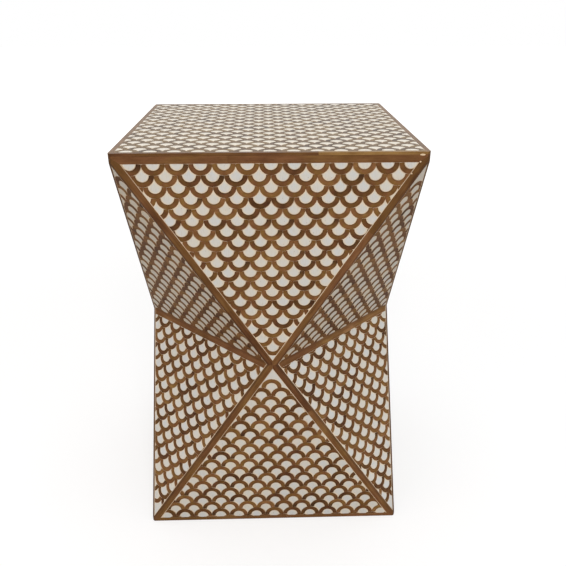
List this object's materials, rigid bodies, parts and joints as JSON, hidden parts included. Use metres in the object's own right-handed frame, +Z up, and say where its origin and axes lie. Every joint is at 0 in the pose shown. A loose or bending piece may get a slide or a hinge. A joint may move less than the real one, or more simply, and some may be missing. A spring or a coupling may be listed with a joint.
{
  "type": "inlaid side stool",
  "caption": "Square side stool with a drawn-in waist: hourglass sides and V-notched corners, covered in fish-scale wood and bone inlay with mitred wood strips.",
  "frame": {"origin": "middle of the underside, on the surface that the stool stands on", "axes": "+Z up; the front side, which the picture faces, looks along -Y; +X to the right"},
  "size_m": [0.3, 0.3, 0.45],
  "materials": {
    "carcass_board": "raw fibreboard, hidden under the inlay except on the underside",
    "inlay_wood": "brown hardwood strips and scales, varying from piece to piece, satin lacquer",
    "bone_inlay": "off-white bone pieces set in cream resin, sanded flush and polished to a satin"
  },
  "bodies": {
    "root": {"top_board": "carcass_board", "base_board": "carcass_board", "top_inlay": "bone_inlay", "top_border": "inlay_wood", "side_board_front": "carcass_board", "side_board_right": "carcass_board", "side_board_back": "carcass_board", "side_board_left": "carcass_board", "upper_corner_board_front_right": "carcass_board", "upper_corner_board_back_right": "carcass_board", "upper_corner_board_back_left": "carcass_board", "upper_corner_board_front_left": "carcass_board", "lower_corner_board_front_right": "carcass_board", "lower_corner_board_back_right": "carcass_board", "lower_corner_board_back_left": "carcass_board", "lower_corner_board_front_left": "carcass_board", "upper_corner_inlay_front_right": "bone_inlay", "upper_corner_inlay_back_right": "bone_inlay", "upper_corner_inlay_back_left": "bone_inlay", "upper_corner_inlay_front_left": "bone_inlay", "lower_corner_inlay_front_right": "bone_inlay", "lower_corner_inlay_back_right": "bone_inlay", "lower_corner_inlay_back_left": "bone_inlay", "lower_corner_inlay_front_left": "bone_inlay", "upper_side_inlay_front": "bone_inlay", "upper_side_inlay_right": "bone_inlay", "upper_side_inlay_back": "bone_inlay", "upper_side_inlay_left": "bone_inlay", "lower_side_inlay_front": "bone_inlay", "lower_side_inlay_right": "bone_inlay", "lower_side_inlay_back": "bone_inlay", "lower_side_inlay_left": "bone_inlay", "upper_diagonal_strip_front_right": "inlay_wood", "upper_diagonal_strip_front_left": "inlay_wood", "upper_diagonal_strip_right_right": "inlay_wood", "upper_diagonal_strip_right_left": "inlay_wood", "upper_diagonal_strip_back_right": "inlay_wood", "upper_diagonal_strip_back_left": "inlay_wood", "upper_diagonal_strip_left_right": "inlay_wood", "upper_diagonal_strip_left_left": "inlay_wood", "lower_diagonal_strip_front_right": "inlay_wood", "lower_diagonal_strip_front_left": "inlay_wood", "lower_diagonal_strip_right_right": "inlay_wood", "lower_diagonal_strip_right_left": "inlay_wood", "lower_diagonal_strip_back_right": "inlay_wood", "lower_diagonal_strip_back_left": "inlay_wood", "lower_diagonal_strip_left_right": "inlay_wood", "lower_diagonal_strip_left_left": "inlay_wood", "waist_strip_front_right": "inlay_wood", "waist_strip_back_right": "inlay_wood", "waist_strip_back_left": "inlay_wood", "waist_strip_front_left": "inlay_wood", "top_band_front": "inlay_wood", "top_band_right": "inlay_wood", "top_band_back": "inlay_wood", "top_band_left": "inlay_wood", "base_strip_front": "inlay_wood", "base_strip_right": "inlay_wood", "base_strip_back": "inlay_wood", "base_strip_left": "inlay_wood"}
  },
  "joints": []
}
